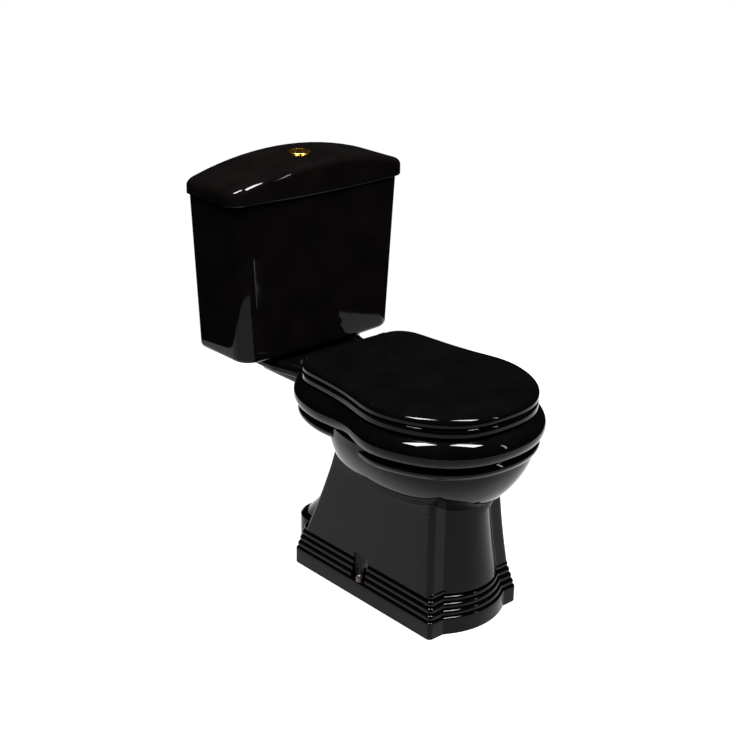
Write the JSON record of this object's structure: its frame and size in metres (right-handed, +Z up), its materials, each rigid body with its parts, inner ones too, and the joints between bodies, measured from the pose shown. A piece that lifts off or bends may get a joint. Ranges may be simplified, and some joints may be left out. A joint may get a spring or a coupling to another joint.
{
  "type": "close coupled toilet",
  "caption": "Close coupled toilet in black glazed china: moulded pan with floor outlet, cistern with a round push button, and a hinged seat and lid.",
  "frame": {"origin": "on the floor under the middle of the whole object", "axes": "+Z up, -Y towards the front of the pan, +X to the right of someone facing the cistern"},
  "size_m": [0.45, 0.706, 0.83],
  "materials": {
    "vitreous_china": "gloss",
    "seat_plastic": "gloss",
    "button_brass": "polished",
    "hinge_brass": "polished",
    "bolt_brass": "machined",
    "valve_plastic": "moulded",
    "grey_plastic": "moulded",
    "rubber": "matt",
    "pad_rubber": "matt",
    "spring_steel": "drawn",
    "cap_plastic": "gloss"
  },
  "bodies": {
    "china": {"pan": "vitreous_china", "cistern": "vitreous_china", "cistern_lid": "vitreous_china", "hinge_bar": "hinge_brass", "hinge_posts": "hinge_brass", "hinge_studs": "bolt_brass", "hinge_cone_washers": "rubber", "hinge_wing_nuts": "grey_plastic", "button_bezel": "button_brass", "button_nut": "grey_plastic", "full_button_spring": "spring_steel", "half_button_spring": "spring_steel", "flush_valve_body": "valve_plastic", "lever_pins": "bolt_brass", "flush_valve_gasket": "rubber", "flush_valve_backnut": "grey_plastic", "doughnut_washer": "rubber", "coupling_bolts": "bolt_brass", "coupling_bolt_seals": "rubber", "coupling_washers": "bolt_brass", "coupling_wing_nuts": "bolt_brass", "fill_valve_body": "valve_plastic", "fill_valve_gasket": "rubber", "fill_valve_backnut": "bolt_brass", "fill_valve_cap": "grey_plastic", "float_arm_pin": "bolt_brass", "floor_screw_washers": "grey_plastic", "floor_screw_caps": "cap_plastic"},
    "seat": {"seat_ring": "seat_plastic", "seat_bumpers": "pad_rubber"},
    "lid": {"seat_lid": "seat_plastic", "lid_bumpers": "pad_rubber"},
    "full_button": {"full_flush_button": "button_brass", "full_push_rod": "valve_plastic"},
    "half_button": {"half_flush_button": "button_brass", "half_push_rod": "valve_plastic"},
    "full_lever": {"full_flush_lever": "grey_plastic"},
    "half_lever": {"half_flush_lever": "grey_plastic"},
    "flush_tube": {"overflow_tube": "valve_plastic", "flush_seal": "rubber"},
    "half_float": {"half_flush_float": "valve_plastic"},
    "float": {"float_arm": "grey_plastic", "float_cup": "valve_plastic"},
    "plunger": {"fill_valve_plunger": "valve_plastic"}
  },
  "joints": [
    {"name": "seat_hinge", "type": "hinge", "parent": "china", "child": "seat", "pos_m": [0, 0.126, 0.447], "axis": [-1, 0, 0], "range_deg": [0, 96]},
    {"name": "lid_hinge", "type": "hinge", "parent": "seat", "child": "lid", "pos_m": [0, 0.126, 0.447], "axis": [1, 0, 0], "range_deg": [-96, 0]},
    {"name": "full_flush_press", "type": "slide", "parent": "china", "child": "full_button", "axis": [0, 0, 1], "range_m": [-0.006, 0], "stiffness_N_per_m": 250, "springref_m": 0.012, "deforming": ["full_button_spring"]},
    {"name": "half_flush_press", "type": "slide", "parent": "china", "child": "half_button", "axis": [0, 0, 1], "range_m": [-0.006, 0], "stiffness_N_per_m": 250, "springref_m": 0.012, "deforming": ["half_button_spring"]},
    {"name": "full_lever_pivot", "type": "hinge", "parent": "china", "child": "full_lever", "pos_m": [-0.05, 0.272, 0.687], "axis": [0, -1, 0], "range_deg": [0, 28.7]},
    {"name": "half_lever_pivot", "type": "hinge", "parent": "china", "child": "half_lever", "pos_m": [0.05, 0.272, 0.687], "axis": [0, 1, 0], "range_deg": [0, 28.7]},
    {"name": "flush_tube_lift", "type": "slide", "parent": "china", "child": "flush_tube", "axis": [0, 0, 1], "range_m": [0, 0.0151]},
    {"name": "half_float_lift", "type": "slide", "parent": "china", "child": "half_float", "axis": [0, 0, 1], "range_m": [0, 0.0061]},
    {"name": "float_arm_hinge", "type": "hinge", "parent": "china", "child": "float", "pos_m": [0.142, 0.272, 0.68], "axis": [0, 1, 0], "range_deg": [0, 15]},
    {"name": "plunger_slide", "type": "slide", "parent": "china", "child": "plunger", "axis": [0, 0, 1], "range_m": [-0.0046, 0]}
  ],
  "couplings": [
    {"joint": "full_lever_pivot", "follows": "full_flush_press", "rad_per_m": -83.333},
    {"joint": "flush_tube_lift", "follows": "full_flush_press", "ratio": -2.5},
    {"joint": "half_lever_pivot", "follows": "half_flush_press", "rad_per_m": -83.333},
    {"joint": "half_float_lift", "follows": "half_flush_press", "ratio": -1},
    {"joint": "plunger_slide", "follows": "float_arm_hinge", "m_per_rad": -0.017}
  ]
}
